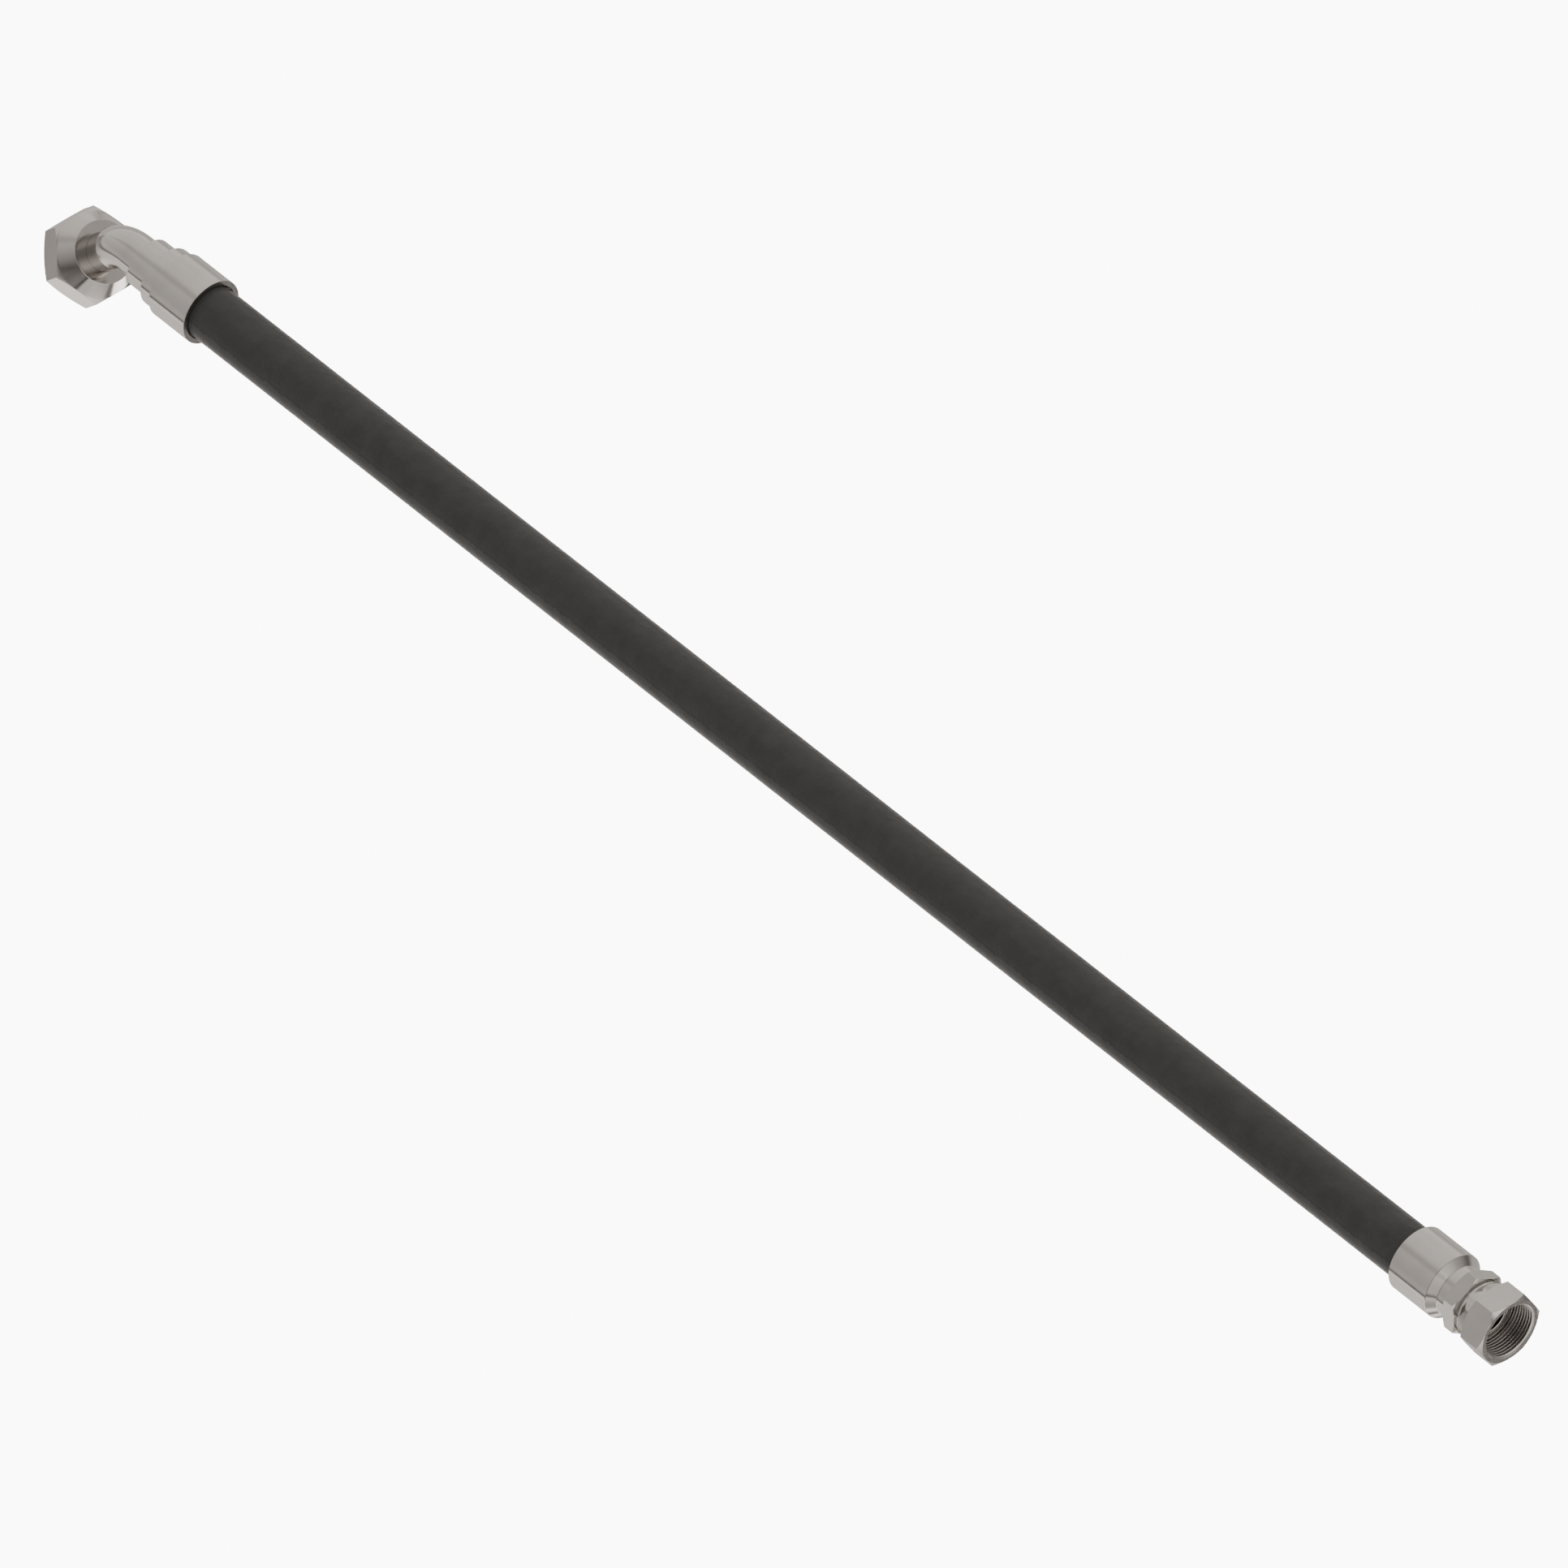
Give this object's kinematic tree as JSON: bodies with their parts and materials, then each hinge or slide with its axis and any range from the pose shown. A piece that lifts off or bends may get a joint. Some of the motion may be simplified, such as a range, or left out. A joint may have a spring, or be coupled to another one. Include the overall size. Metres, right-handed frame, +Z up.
{
  "type": "hydraulic hose",
  "caption": "Rubber hydraulic hose with crimped steel ferrules, a bent elbow with a hexagonal swivel nut at one end and a straight stem with a swivel nut at the other.",
  "frame": {"origin": "middle of the underside of the part's box, on the floor that the hose lies on", "axes": "+X along the hose towards the straight end, -Y to the side that the elbow points to, +Z up"},
  "size_m": [1.2406, 0.077, 0.0583],
  "materials": {
    "rubber": "satin black",
    "plated_steel": "satin plated"
  },
  "bodies": {
    "hose_line": {"hose": "rubber", "elbow_ferrule": "plated_steel", "elbow_stem": "plated_steel", "straight_ferrule": "plated_steel", "straight_stem": "plated_steel"},
    "elbow_nut": {"elbow_nut": "plated_steel"},
    "straight_nut": {"straight_nut": "plated_steel"}
  },
  "joints": [
    {"name": "elbow_nut_swivel", "type": "hinge", "parent": "hose_line", "child": "elbow_nut", "pos_m": [-0.5839, -0.00157, 0.0267], "axis": [-0.7071, -0.6939, 0.1362], "continuous": true},
    {"name": "straight_nut_swivel", "type": "hinge", "parent": "hose_line", "child": "straight_nut", "pos_m": [0.59503, 0.01612, 0.02323], "axis": [1, 0, 0], "continuous": true}
  ]
}
